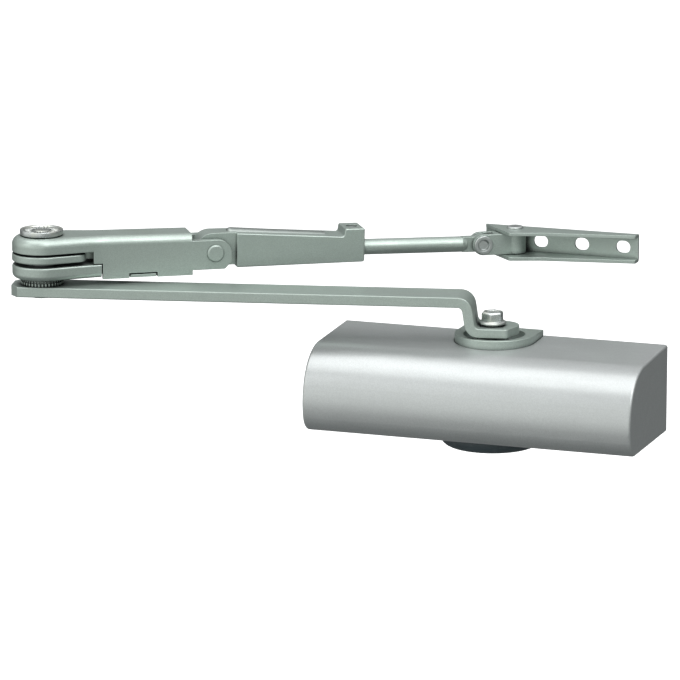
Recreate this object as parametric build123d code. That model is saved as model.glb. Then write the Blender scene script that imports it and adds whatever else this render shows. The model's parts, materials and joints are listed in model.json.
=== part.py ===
"""Rack-and-pinion overhead door closer with a folding hold-open arm.

Frame: the origin is the centre of the four door-screw holes, on the flat back that lies on the
door leaf. +X runs along the body to the right, +Y points into the door, +Z points up.
The closer rests in the state in which it leaves the box: spring relaxed against its stop, the
arm folded, the shoe parallel with the body.
"""
from build123d import *
import math
import os

os.makedirs("parts", exist_ok=True)

# ---------------------------------------------------------------- driving dimensions (mm)
BODY_LENGTH = 170.0
BODY_HEIGHT = 44.5
BODY_TOP = BODY_HEIGHT / 2
COVER_WALL = 2.0
SPINDLE_Y = -20.0                # spindle axis, in front of the door leaf

# cover section: corners of the outline before rounding, as (Y, Z), with their radii
SHOULDER = (-58.5, 19.6)
SHOULDER_RADIUS = 24.0
NOSE = (-65.0, -6.0)
NOSE_RADIUS = 30.0
CHIN = (-62.0, -BODY_TOP)
CHIN_RADIUS = 10.0
COVER_EDGE_RADIUS = 1.4

# door screws
SCREW_SPACING_X = 152.0
SCREW_SPACING_Z = 26.0
SCREW_HOLE_RADIUS = 2.75
FOOT_THICKNESS = 6.0
FOOT_HEIGHT = 37.0

# hydraulic cylinder
BORE_RADIUS = 15.5
BORE_Y = -21.8
TUBE_RADIUS = 18.6
TUBE_LEFT = -52.0
TUBE_RIGHT = 70.0
BOSS_RADIUS = 11.0
BOSS_TOP = 22.0

# rack and pinion
MODULE = 1.25
PINION_TEETH = 12
PITCH_RADIUS = MODULE * PINION_TEETH / 2
PRESSURE_ANGLE = 20.0
PINION_ADDENDUM = 1.0
PINION_DEDENDUM = 1.5
RACK_ADDENDUM = 0.8
RACK_DEDENDUM = 1.35
TOOTH_HALF_WIDTH = 8.0
PINION_BACKLASH = 0.10
RACK_BACKLASH = 0.25
SPINDLE_TRAVEL = 165.0           # degrees, closed to fully open
PISTON_TRAVEL = math.radians(SPINDLE_TRAVEL) * PITCH_RADIUS
PISTON_LENGTH = 60.0
PISTON_X = -PISTON_TRAVEL / 2    # piston centre with the door closed
PISTON_RUNNING_GAP = 0.03

# spindle
JOURNAL_RADIUS = 7.0
JOURNAL_GAP = 0.03
SQUARE = 11.0
BEARING_RADIUS = 9.3
BEARING_LOW = 15.6
BEARING_HIGH = 20.4
SEAL_RADIUS = 9.7

# collar round the spindle
COLLAR_RADIUS = 20.5
COLLAR_Y = -14.5
COLLAR_LOW = 18.6
COLLAR_TOP = 25.2
COLLAR_HOLE_RADIUS = 15.3
COLLAR_HOLE_Y = -16.8
COLLAR_SLOT_GAP = 0.4

# cap over the lower end of the spindle
CAP_RADIUS = 25.8
CAP_DEPTH = 8.25
CAP_WALL = 1.6
CAP_EDGE_RADIUS = 5.0
CAP_SPIGOT_RADIUS = 14.8

# main arm
ARM_ANGLE = 13.1                 # degrees, turned forward from the body
ARM_LENGTH = 227.0               # spindle axis to elbow axis
ARM_WIDTH = 22.0
ARM_THICKNESS = 5.2
ARM_END_LOW = 25.5
FOOT_TOP = 30.2
CRANK_RISE = 15.15
ARM_LOW = ARM_END_LOW + CRANK_RISE
ARM_TOP = ARM_LOW + ARM_THICKNESS
CRANK_X = -12.2                  # outer foot of the cranked leg, from the spindle axis
CRANK_LEAN = 0.153               # sideways lean of the leg per mm of height
BEND_INNER = 2.4
BEND_OUTER = BEND_INNER + ARM_THICKNESS
ARM_TAIL = 14.8                  # beyond the elbow axis
ARM_NOSE = 13.3                  # beyond the spindle axis

# elbow stack, from the main arm upwards
ELBOW_RADIUS = 14.9
WASHER_RADIUS = 10.85
WASHER_TOP = ARM_TOP + 3.4
LOWER_LEAF = (49.45, 56.3)
MIDDLE_LEAF = (58.1, 61.9)
TOP_LEAF_LOW = 63.1
CASING_TOP = 70.7
CASING_TOP_FAR = 69.6
KNOB_RADIUS = 10.85
KNOB_LOW = 71.0
KNOB_TOP = 73.8
PIN_RADIUS = 5.0
RUNNING_GAP = 0.05

# forearm, measured along its own axis from the elbow
FOREARM_ANGLE = 33.1             # degrees, from the body towards the door
CASING_HALF_WIDTH = 11.0
CASING_WALL = 2.5
CASING_BOTTOM = 48.7
CASING_END = 75.0
LUG_BOTTOM = 51.1
LUG_TOP = 66.0
LUG_END = 95.2
RIVET_X = 86.8
RIVET_Z = 59.3
RIVET_RADIUS = 3.0
TONGUE_RADIUS = 9.4
TONGUE_HALF_WIDTH = 6.3
LUG_INNER = 6.5
BLOCK_HALF_WIDTH = 8.2
BLOCK_START = 98.4
BLOCK_END = 164.8
BOSS_START = 154.6
ROD_RADIUS = 4.0
ROD_START = 112.0
ROD_DROP = 1.0                   # rod axis below the rivet axis
EYE_X = 228.2
EYE_RADIUS = 5.0
EYE_HALF_WIDTH = 2.0
FOREARM_DROOP = 1.15            # degrees, the rod hangs on its stop a little below level

# knuckle and shoe
KNUCKLE_LENGTH = 18.0
CHEEK_RADIUS = 5.3
CHEEK_OUTER = 4.7
CHEEK_INNER = 2.15
BARREL_RADIUS = 5.6
BARREL_HALF_HEIGHT = 5.5
SHOE_SHEET = 1.7
SHOE_HALF_HEIGHT = 7.25
SHOE_WEB_Y = 5.9                 # inner face of the web, behind the pin
SHOE_LEFT = -17.5
SHOE_RIGHT = 64.0
SHOE_HOLE_X = 12.0
SHOE_HOLE_PITCH = 22.0
SHOE_HOLE_RADIUS = 3.25
SHOE_SLOT_LENGTH = 7.7
SHOE_PIN_RADIUS = 2.5


# ---------------------------------------------------------------- helpers
def save(name, shape):
    """Write one named piece."""
    shape.label = name
    export_step(shape, f"parts/{name}.step")


def box(x0, x1, y0, y1, z0, z1):
    """Box between two corners."""
    return Pos((x0 + x1) / 2, (y0 + y1) / 2, (z0 + z1) / 2) * Box(x1 - x0, y1 - y0, z1 - z0)


def upright(x, y, z0, z1, radius):
    """Cylinder along Z."""
    return Pos(x, y, (z0 + z1) / 2) * Cylinder(radius, z1 - z0)


def along_x(y, z, x0, x1, radius):
    """Cylinder along X."""
    return Pos((x0 + x1) / 2, y, z) * Rot(0, 90, 0) * Cylinder(radius, x1 - x0)


def along_y(x, z, y0, y1, radius):
    """Cylinder along Y."""
    return Pos(x, (y0 + y1) / 2, z) * Rot(90, 0, 0) * Cylinder(radius, y1 - y0)


def hexagon(across_flats):
    """Regular hexagon by its width across flats."""
    return RegularPolygon(across_flats / 2, 6, major_radius=False)


def round_corner(sketch, x, y, radius):
    """Round the corner of a flat outline that lies nearest to (x, y)."""
    corner = min(sketch.vertices(), key=lambda v: math.hypot(v.X - x, v.Y - y))
    return fillet(corner, radius)


def outline(points):
    """Closed flat face through corner points."""
    return make_face(Polyline(*points, close=True))


def side_plate(points, y0, y1, rounds=()):
    """Plate whose outline is given in the XZ plane; rounds are (x, z, radius)."""
    sketch = outline(points)
    for x, z, radius in rounds:
        sketch = round_corner(sketch, x, z, radius)
    return Pos(0, y1, 0) * Rot(90, 0, 0) * extrude(sketch, y1 - y0)


def on_main_arm(shape):
    """Place a piece modelled with the spindle at x = 0 and the elbow at x = -ARM_LENGTH."""
    return Pos(0, SPINDLE_Y, 0) * Rot(0, 0, ARM_ANGLE) * shape


ELBOW_X = -ARM_LENGTH * math.cos(math.radians(ARM_ANGLE))
ELBOW_Y = SPINDLE_Y - ARM_LENGTH * math.sin(math.radians(ARM_ANGLE))


def on_forearm(shape):
    """Place a piece modelled along +X with the elbow axis at x = 0."""
    return Pos(ELBOW_X, ELBOW_Y, 0) * Rot(0, 0, FOREARM_ANGLE) * shape


def on_rod(shape):
    """Place a piece that hangs from the hinge rivet, modelled level along the forearm."""
    return on_forearm(Pos(RIVET_X, 0, RIVET_Z) * Rot(0, FOREARM_DROOP, 0) * Pos(-RIVET_X, 0, -RIVET_Z) * shape)


DROOP = math.radians(FOREARM_DROOP)
ROD_Z = RIVET_Z - ROD_DROP
EYE_REST_X = RIVET_X + (EYE_X - RIVET_X) * math.cos(DROOP) - ROD_DROP * math.sin(DROOP)
EYE_REST_Z = RIVET_Z - (EYE_X - RIVET_X) * math.sin(DROOP) - ROD_DROP * math.cos(DROOP)
SHOE_PIN_X = ELBOW_X + (EYE_REST_X + KNUCKLE_LENGTH) * math.cos(math.radians(FOREARM_ANGLE))
SHOE_PIN_Y = ELBOW_Y + (EYE_REST_X + KNUCKLE_LENGTH) * math.sin(math.radians(FOREARM_ANGLE))


# ---------------------------------------------------------------- closer body
def cover_section():
    """Outer outline of the cover, as (Y, Z)."""
    sketch = outline([(0, BODY_TOP), SHOULDER, NOSE, CHIN, (0, -BODY_TOP)])
    sketch = round_corner(sketch, *SHOULDER, SHOULDER_RADIUS)
    sketch = round_corner(sketch, *NOSE, NOSE_RADIUS)
    return round_corner(sketch, *CHIN, CHIN_RADIUS)


def collar_plan(radius, back_y):
    """Round front with straight sides that run back to a straight edge."""
    front = Pos(0, COLLAR_Y) * Circle(radius) & Pos(0, COLLAR_Y - 50) * Rectangle(100, 100)
    sides = Pos(0, (COLLAR_Y + back_y) / 2) * Rectangle(2 * radius, back_y - COLLAR_Y)
    return front + sides


def make_cover():
    """Formed cover, open towards the door, with a slot at the top for the collar."""
    half = BODY_LENGTH / 2
    outer = extrude(Plane.YZ.offset(-half) * cover_section(), BODY_LENGTH)
    end_edges = [e for e in outer.edges() if abs(abs(e.center().X) - half) < 0.01 and e.center().Y < -0.1]
    outer = fillet(end_edges, COVER_EDGE_RADIUS)
    inner_section = offset(cover_section(), -COVER_WALL) + Pos(-4, 0) * Rectangle(10, BODY_HEIGHT - 2 * COVER_WALL)
    inner_half = half - COVER_WALL
    cavity = extrude(Plane.YZ.offset(-inner_half) * inner_section, 2 * inner_half)
    ribs = Part()
    for rib_x in (-72.0, 24.0, 62.0):
        ribs += (cavity & box(rib_x - 0.8, rib_x + 0.8, -70, -47, -30, 30))
    body = outer - cavity + ribs
    slot = collar_plan(COLLAR_RADIUS + COLLAR_SLOT_GAP, 1)
    body -= extrude(Pos(0, 0, 10) * slot, 20)
    body -= upright(0, SPINDLE_Y, -30, -15, CAP_SPIGOT_RADIUS + 0.1)
    return body


def make_housing():
    """Cast cylinder with its feet, spindle bosses and valve lobe."""
    half = BODY_LENGTH / 2 - COVER_WALL
    tube = along_x(BORE_Y, 0, TUBE_LEFT, TUBE_RIGHT, TUBE_RADIUS)
    back = box(TUBE_LEFT, TUBE_RIGHT, BORE_Y, 0, -17, 17)
    feet = box(-half, half, -FOOT_THICKNESS, 0, -FOOT_HEIGHT / 2, FOOT_HEIGHT / 2)
    webs = box(-66, TUBE_LEFT, -20, 0, -3, 3)
    boss = upright(0, SPINDLE_Y, -BOSS_TOP, BOSS_TOP, BOSS_RADIUS)
    pad = extrude(Pos(0, 0, 6) * collar_plan(COLLAR_RADIUS - 0.6, 0), COLLAR_LOW - 6)
    lobe = box(-60, -12, -52, -30, -9, 9)
    lobe = fillet(lobe.edges().filter_by(Axis.X).group_by(Axis.Y)[0], 4)
    body = tube + back + feet + webs + boss + pad + lobe
    body -= along_x(BORE_Y, 0, TUBE_LEFT - 1, TUBE_RIGHT + 1, BORE_RADIUS)
    body -= upright(0, SPINDLE_Y, -BOSS_TOP - 1, BOSS_TOP + 1, JOURNAL_RADIUS + 0.5)
    for side in (1, -1):
        body -= upright(0, SPINDLE_Y, *sorted((side * BEARING_LOW, side * BEARING_HIGH)), BEARING_RADIUS)
        body -= upright(0, SPINDLE_Y, *sorted((side * BEARING_HIGH, side * (BOSS_TOP + 1))), SEAL_RADIUS)
        body -= along_x(VALVE_Y, side * VALVE_Z, -61, VALVE_INNER - 1, VALVE_RADIUS + RUNNING_GAP)
        body -= along_y(VALVE_INNER - 0.2, side * VALVE_Z, VALVE_Y, BORE_Y - 10, 1.0)
    for x in (-SCREW_SPACING_X / 2, SCREW_SPACING_X / 2):
        for z in (-SCREW_SPACING_Z / 2, SCREW_SPACING_Z / 2):
            body -= along_y(x, z, -FOOT_THICKNESS - 1, 1, SCREW_HOLE_RADIUS)
    return body


def make_collar():
    """Trim ring with a straight back round the top of the spindle."""
    ring = extrude(Pos(0, 0, COLLAR_LOW) * collar_plan(COLLAR_RADIUS, -0.2), COLLAR_TOP - COLLAR_LOW)
    ring -= upright(0, COLLAR_HOLE_Y, COLLAR_LOW - 1, COLLAR_TOP + 1, COLLAR_HOLE_RADIUS)
    top_edges = ring.faces().sort_by(Axis.Z)[-1].edges()
    return fillet(top_edges, 0.4)


def make_lower_cap():
    """Round cap over the unused lower end of the spindle."""
    top = -BODY_TOP
    bowl = upright(0, SPINDLE_Y, top - CAP_DEPTH, top, CAP_RADIUS)
    bowl = fillet(bowl.faces().sort_by(Axis.Z)[0].edges(), CAP_EDGE_RADIUS)
    hollow = upright(0, SPINDLE_Y, top - CAP_DEPTH + CAP_WALL, top + 1, CAP_RADIUS - CAP_WALL)
    hollow = fillet(hollow.faces().sort_by(Axis.Z)[0].edges(), CAP_EDGE_RADIUS - CAP_WALL)
    back = box(-40, 40, -0.2, 20, -40, 0)
    inner_back = box(-40, 40, -0.2 - CAP_WALL, 20, -40, 0)
    bowl = (bowl - back) - (hollow - inner_back)
    spigot_low = top - CAP_DEPTH + CAP_WALL
    spigot = upright(0, SPINDLE_Y, spigot_low - 0.5, -20.6, CAP_SPIGOT_RADIUS)
    spigot -= upright(0, SPINDLE_Y, spigot_low - 0.5, -20.6, CAP_SPIGOT_RADIUS - 1.4)
    return bowl + spigot


def make_bearing(side):
    """Drawn-cup needle bearing, as its sleeve."""
    low, high = sorted((side * BEARING_LOW, side * BEARING_HIGH))
    ring = upright(0, SPINDLE_Y, low, high, BEARING_RADIUS)
    return ring - upright(0, SPINDLE_Y, low, high, JOURNAL_RADIUS + JOURNAL_GAP)


def make_shaft_seal(side):
    """Rubber lip seal that closes a spindle boss."""
    low, high = sorted((side * (BEARING_HIGH + 0.1), side * (BOSS_TOP - 0.1)))
    ring = upright(0, SPINDLE_Y, low, high, SEAL_RADIUS - 0.02)
    return ring - upright(0, SPINDLE_Y, low, high, JOURNAL_RADIUS + JOURNAL_GAP)


PLUG_RADIUS = BORE_RADIUS - 0.05
LEFT_PLUG = (TUBE_LEFT, -42.5)
RIGHT_PLUG = (61.0, TUBE_RIGHT)
SPRING_SEAT_RADIUS = 12.6
PLUG_SEAT_DEPTH = 3.0
GROOVE_RADIUS = 13.3
O_RING_RADIUS = 1.05
LEFT_GROOVE = -46.0
RIGHT_GROOVE = 67.2


def o_ring_groove(x):
    """Cutter for an O-ring groove round a plug or the piston."""
    ring = along_x(BORE_Y, 0, x - 1.2, x + 1.2, BORE_RADIUS + 1)
    return ring - along_x(BORE_Y, 0, x - 1.2, x + 1.2, GROOVE_RADIUS)


def make_left_plug():
    """Plug on the oil side, with a hexagon socket."""
    plug = along_x(BORE_Y, 0, *LEFT_PLUG, PLUG_RADIUS) - o_ring_groove(LEFT_GROOVE)
    return plug - Pos(LEFT_PLUG[0], BORE_Y, 0) * Rot(0, 90, 0) * extrude(hexagon(10), 5)


def make_right_plug():
    """Plug on the spring side, with a seat for the spring."""
    plug = along_x(BORE_Y, 0, *RIGHT_PLUG, PLUG_RADIUS) - o_ring_groove(RIGHT_GROOVE)
    plug -= along_x(BORE_Y, 0, RIGHT_PLUG[0], RIGHT_PLUG[0] + PLUG_SEAT_DEPTH, SPRING_SEAT_RADIUS)
    return plug - Pos(RIGHT_PLUG[1] - 4, BORE_Y, 0) * Rot(0, 90, 0) * extrude(hexagon(10), 5)


def make_plug_o_rings():
    """The two O-rings of the plugs."""
    ring = Torus(BORE_RADIUS - 0.05 - O_RING_RADIUS, O_RING_RADIUS)
    rings = [Pos(x, BORE_Y, 0) * Rot(0, 90, 0) * ring for x in (LEFT_GROOVE, RIGHT_GROOVE)]
    return Compound(children=rings)


# valves
VALVE_RADIUS = 3.0
VALVE_Y = -46.0
VALVE_Z = 4.5
VALVE_OUTER = -60.0
VALVE_INNER = -44.0


def make_valve(side):
    """Throttle screw with a needle tip and a screwdriver slot."""
    z = side * VALVE_Z
    shank = along_x(VALVE_Y, z, VALVE_OUTER, VALVE_INNER - 5, VALVE_RADIUS)
    needle = Pos(VALVE_INNER - 3.5, VALVE_Y, z) * Rot(0, 90, 0) * Cone(VALVE_RADIUS - 0.6, 0.5, 3)
    slot = box(VALVE_OUTER - 1, VALVE_OUTER + 1.5, VALVE_Y - 4, VALVE_Y + 4, z - 0.5, z + 0.5)
    return shank + needle - slot


# ---------------------------------------------------------------- piston
SLOT_HALF = PISTON_TRAVEL / 2 + PITCH_RADIUS + PINION_ADDENDUM + 1.0
RACK_PITCH_Y = SPINDLE_Y - PITCH_RADIUS
TOOTH_PITCH = math.pi * MODULE
CHECK_POCKET_DEPTH = 6.0
CHECK_POCKET_RADIUS = 2.6
CHECK_PASSAGE_RADIUS = 1.4
CHECK_BALL_RADIUS = 2.25
PISTON_LEFT = PISTON_X - PISTON_LENGTH / 2
PISTON_RIGHT = PISTON_X + PISTON_LENGTH / 2
CHECK_Z = 0.0
PISTON_SEAT_DEPTH = 6.0


def rack_tooth(x):
    """One straight-sided rack tooth centred at x."""
    slope = math.tan(math.radians(PRESSURE_ANGLE))
    thickness = TOOTH_PITCH / 2 - RACK_BACKLASH
    root = RACK_PITCH_Y - RACK_DEDENDUM
    tip = RACK_PITCH_Y + RACK_ADDENDUM
    root_half = thickness / 2 + RACK_DEDENDUM * slope
    tip_half = thickness / 2 - RACK_ADDENDUM * slope
    buried = 0.5
    tooth = outline([
        (x - root_half, root - buried),
        (x - root_half, root),
        (x - tip_half, tip),
        (x + tip_half, tip),
        (x + root_half, root),
        (x + root_half, root - buried),
    ])
    half = TOOTH_HALF_WIDTH - 0.1
    return Pos(0, 0, -half) * extrude(tooth, 2 * half)


def make_piston():
    """Piston with the rack cut in the front wall of its slot."""
    radius = BORE_RADIUS - PISTON_RUNNING_GAP
    body = along_x(BORE_Y, 0, PISTON_LEFT, PISTON_RIGHT, radius)
    slot_back = SPINDLE_Y + PITCH_RADIUS + PINION_ADDENDUM + 0.6
    slot_front = RACK_PITCH_Y - RACK_DEDENDUM
    body -= box(PISTON_X - SLOT_HALF, PISTON_X + SLOT_HALF, slot_front, slot_back, -20, 20)
    reach = int(SLOT_HALF / TOOTH_PITCH) + 6
    for index in range(-reach, reach + 1):
        x = index * TOOTH_PITCH
        if abs(x - PISTON_X) < SLOT_HALF - TOOTH_PITCH / 2 - 0.4:
            body += rack_tooth(x)
    body -= along_x(BORE_Y, 0, PISTON_RIGHT - PISTON_SEAT_DEPTH, PISTON_RIGHT, SPRING_SEAT_RADIUS)
    body -= along_x(BORE_Y, CHECK_Z, PISTON_LEFT, PISTON_LEFT + CHECK_POCKET_DEPTH, CHECK_POCKET_RADIUS)
    body -= along_x(BORE_Y, CHECK_Z, PISTON_LEFT, PISTON_LEFT + 12, CHECK_PASSAGE_RADIUS)
    return body - o_ring_groove(PISTON_LEFT + 2.6)


def make_piston_seal():
    """Sealing ring round the oil side of the piston."""
    x = PISTON_LEFT + 2.6
    ring = along_x(BORE_Y, 0, x - 1.1, x + 1.1, BORE_RADIUS - 0.01)
    return ring - along_x(BORE_Y, 0, x - 1.1, x + 1.1, GROOVE_RADIUS + 0.02)


def make_check_ball():
    """Ball of the check valve, on its seat."""
    seat = PISTON_LEFT + CHECK_POCKET_DEPTH
    stand_off = math.sqrt(CHECK_BALL_RADIUS ** 2 - CHECK_PASSAGE_RADIUS ** 2) + 0.03
    return Pos(seat - stand_off, BORE_Y, CHECK_Z) * Sphere(CHECK_BALL_RADIUS)


def make_check_retainer():
    """Ring that keeps the check ball in its pocket."""
    ring = along_x(BORE_Y, CHECK_Z, PISTON_LEFT + 0.3, PISTON_LEFT + 0.9, CHECK_POCKET_RADIUS - 0.01)
    return ring - along_x(BORE_Y, CHECK_Z, PISTON_LEFT, PISTON_LEFT + 1, 1.6)


SPRING_WIRE_RADIUS = 1.6
SPRING_RADIUS = 10.6
SPRING_COILS = 7


def make_return_spring():
    """Compression spring between the piston and the right-hand plug."""
    start = PISTON_RIGHT - PISTON_SEAT_DEPTH + SPRING_WIRE_RADIUS + 0.05
    end = RIGHT_PLUG[0] + PLUG_SEAT_DEPTH - SPRING_WIRE_RADIUS - 0.05
    path = Helix(pitch=(end - start) / SPRING_COILS, height=end - start, radius=SPRING_RADIUS)
    wire = sweep(Plane(path @ 0, z_dir=path % 0) * Circle(SPRING_WIRE_RADIUS), path=path, is_frenet=True)
    return Pos(start, BORE_Y, 0) * Rot(0, 90, 0) * wire


# ---------------------------------------------------------------- spindle
def involute_point(base_radius, radius, side, offset_angle):
    """Point of a tooth flank at a radius; side is 1 or -1."""
    roll = math.sqrt(max((radius / base_radius) ** 2 - 1, 0))
    turned = offset_angle - (roll - math.atan(roll))
    return (radius * math.cos(side * turned), radius * math.sin(side * turned))


def pinion_outline():
    """Outline of the pinion with a gap pointing at the rack."""
    base = PITCH_RADIUS * math.cos(math.radians(PRESSURE_ANGLE))
    roll = math.tan(math.radians(PRESSURE_ANGLE))
    pitch_half = (TOOTH_PITCH / 4 - PINION_BACKLASH / 2) / PITCH_RADIUS
    base_half = pitch_half + roll - math.radians(PRESSURE_ANGLE)
    root = PITCH_RADIUS - PINION_DEDENDUM
    tip = PITCH_RADIUS + PINION_ADDENDUM
    steps = 5
    radii = [base + (tip - base) * i / steps for i in range(steps + 1)]
    flank = [(root * math.cos(base_half), -root * math.sin(base_half))]
    flank += [involute_point(base, r, -1, base_half) for r in radii]
    flank += [involute_point(base, r, 1, base_half) for r in reversed(radii)]
    flank += [(root * math.cos(base_half), root * math.sin(base_half))]
    points = []
    for tooth in range(PINION_TEETH):
        angle = (tooth + 0.5) * 2 * math.pi / PINION_TEETH
        c, s = math.cos(angle), math.sin(angle)
        points += [(x * c - y * s, x * s + y * c) for x, y in flank]
    return outline(points)


BOLT_THREAD_RADIUS = 3.0
SPINDLE_TOP = FOOT_TOP - 0.3
SPINDLE_BOTTOM = -27.5


def make_pinion_spindle():
    """Pinion in one piece with its journals and its two square ends."""
    gear = Pos(0, 0, -TOOTH_HALF_WIDTH) * extrude(pinion_outline(), 2 * TOOTH_HALF_WIDTH)
    journals = upright(0, 0, TOOTH_HALF_WIDTH, ARM_END_LOW, JOURNAL_RADIUS)
    journals += upright(0, 0, -BOSS_TOP, -TOOTH_HALF_WIDTH, JOURNAL_RADIUS)
    body = gear + journals
    for low, high in ((SPINDLE_BOTTOM, -BOSS_TOP + 1), (BOSS_TOP, SPINDLE_TOP)):
        square = Rot(0, 0, ARM_ANGLE) * box(-SQUARE / 2, SQUARE / 2, -SQUARE / 2, SQUARE / 2, low, high)
        body += square & upright(0, 0, low, high, JOURNAL_RADIUS)
    body -= upright(0, 0, SPINDLE_TOP - 15, SPINDLE_TOP + 1, BOLT_THREAD_RADIUS + 0.02)
    body -= upright(0, 0, SPINDLE_BOTTOM - 1, SPINDLE_BOTTOM + 11, BOLT_THREAD_RADIUS + 0.02)
    return Pos(0, SPINDLE_Y, 0) * body


def make_main_arm():
    """Cranked flat bar with a square hole at the spindle."""
    foot = CRANK_X
    top_x = CRANK_X - CRANK_LEAN * CRANK_RISE
    face = ARM_THICKNESS * math.sqrt(1 + CRANK_LEAN ** 2)
    inner_foot = foot - CRANK_LEAN * (FOOT_TOP - ARM_END_LOW) + face
    outer_top = foot - CRANK_LEAN * (CRANK_RISE + ARM_THICKNESS) + face
    end_top = FOOT_TOP
    tail = -ARM_LENGTH - ARM_TAIL
    bar = side_plate(
        [
            (ARM_NOSE, ARM_END_LOW), (foot, ARM_END_LOW), (top_x, ARM_LOW), (tail, ARM_LOW),
            (tail, ARM_TOP), (outer_top, ARM_TOP), (inner_foot, end_top), (ARM_NOSE, end_top),
        ],
        -ARM_WIDTH / 2,
        ARM_WIDTH / 2,
        rounds=[
            (foot, ARM_END_LOW, BEND_OUTER), (top_x, ARM_LOW, BEND_INNER),
            (outer_top, ARM_TOP, BEND_OUTER), (inner_foot, end_top, BEND_INNER),
        ],
    )
    half = ARM_WIDTH / 2
    plan = outline([
        (tail, 5.5), (tail, -5.5), (tail + 4, -half), (ARM_NOSE - 5, -half),
        (ARM_NOSE, 0), (ARM_NOSE, half), (tail + 4, half),
    ])
    plan = round_corner(plan, ARM_NOSE, half, 9.0)
    plan = round_corner(plan, ARM_NOSE, 0, 2.0)
    plan = round_corner(plan, ARM_NOSE - 5, -half, 2.0)
    bar &= extrude(plan, 60)
    long_edges = [e for e in bar.edges() if abs(abs(e.center().Y) - half) < 0.01 and e.length > 3]
    bar = fillet(long_edges, 0.5)
    side = SQUARE + 0.1
    bar -= box(-side / 2, side / 2, -side / 2, side / 2, ARM_END_LOW - 1, end_top + 1)
    bar -= upright(-ARM_LENGTH, 0, ARM_LOW - 1, ARM_TOP + 1, PIN_RADIUS + 0.01)
    return on_main_arm(bar)


BOLT_FLANGE_RADIUS = 7.0
BOLT_ACROSS_FLATS = 10.0
LOCK_WASHER_THICKNESS = 1.0
BOLT_FLANGE_THICKNESS = 1.5
BOLT_HEAD_HEIGHT = 6.0
BOLT_SHANK = 12.0


def make_arm_lock_washer():
    """Toothed lock washer under the bolt."""
    low = FOOT_TOP
    teeth = 20
    ring = upright(0, 0, low, low + LOCK_WASHER_THICKNESS, 5.6)
    notch = Pos(5.6, 0, low + LOCK_WASHER_THICKNESS / 2) * Box(1.6, 0.8, 2)
    for index in range(teeth):
        ring -= Rot(0, 0, index * 360 / teeth) * notch
    ring -= upright(0, 0, low, low + LOCK_WASHER_THICKNESS, BOLT_THREAD_RADIUS + 0.2)
    return Pos(0, SPINDLE_Y, 0) * ring


def make_arm_bolt():
    """Hexagon flange bolt that holds the arm on the spindle."""
    seat = FOOT_TOP + LOCK_WASHER_THICKNESS
    flange = Pos(0, 0, seat + 0.4) * Cylinder(BOLT_FLANGE_RADIUS, 0.8)
    rise = Pos(0, 0, seat + 0.8 + 0.45) * Cone(BOLT_FLANGE_RADIUS, BOLT_ACROSS_FLATS / 2 + 0.3, 0.9)
    head = Pos(0, 0, seat) * extrude(hexagon(BOLT_ACROSS_FLATS), BOLT_HEAD_HEIGHT)
    crown = BOLT_ACROSS_FLATS / 2 + 0.1
    dome = Pos(0, 0, seat + BOLT_HEAD_HEIGHT / 2) * Cone(crown + BOLT_HEAD_HEIGHT, crown, BOLT_HEAD_HEIGHT)
    head &= dome
    shank = upright(0, 0, seat - BOLT_SHANK, seat, BOLT_THREAD_RADIUS)
    dimple = upright(0, 0, seat + BOLT_HEAD_HEIGHT - 0.5, seat + BOLT_HEAD_HEIGHT, 3.0)
    return Pos(0, SPINDLE_Y, 0) * Rot(0, 0, 8) * (flange + rise + head + shank - dimple)


# ---------------------------------------------------------------- elbow
def make_elbow_pin():
    """Stud riveted into the main arm; the leaves turn on it and the knob screws on its top."""
    stud = upright(0, 0, ARM_LOW - 1.2, TOP_LEAF_LOW + 3, PIN_RADIUS)
    head = upright(0, 0, ARM_LOW - 1.2, ARM_LOW, PIN_RADIUS + 2)
    head = fillet(head.faces().sort_by(Axis.Z)[0].edges(), 0.8)
    thread = upright(0, 0, TOP_LEAF_LOW + 3, KNOB_TOP - 0.9, 4.0)
    return on_main_arm(Pos(-ARM_LENGTH, 0, 0) * (stud + head + thread))


def make_serrated_washer():
    """Toothed friction washer that keys the elbow stack to the main arm."""
    ring = upright(0, 0, ARM_TOP, WASHER_TOP, WASHER_RADIUS)
    ring -= upright(0, 0, ARM_TOP, WASHER_TOP, PIN_RADIUS + 0.01)
    teeth = 46
    notch = Pos(WASHER_RADIUS, 0, ARM_TOP) * Rot(45, 0, 0) * Box(3.6, 0.95, 0.95)
    tall = Pos(WASHER_RADIUS, 0, ARM_TOP + 1.5) * Rot(0, 0, 45) * Box(0.8, 0.8, 3.0)
    for index in range(teeth):
        ring -= Rot(0, 0, index * 360 / teeth) * (notch + tall)
    return on_main_arm(Pos(-ARM_LENGTH, 0, 0) * ring)


def leaf_plan(radius, half_width, length):
    """Round eye that narrows along tangents into a straight leaf."""
    neck = 27.0
    reach = math.hypot(neck, half_width)
    tangent = math.atan2(half_width, neck) + math.acos(radius / reach)
    tx, ty = radius * math.cos(tangent), radius * math.sin(tangent)
    flank = outline([(tx, ty), (neck, half_width), (neck, -half_width), (tx, -ty)])
    straight = Pos(length / 2, 0) * Rectangle(length, 2 * half_width)
    plan = Circle(radius) + flank + straight
    for side in (1, -1):
        plan = round_corner(plan, neck, side * half_width, 30.0)
    return plan


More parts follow.
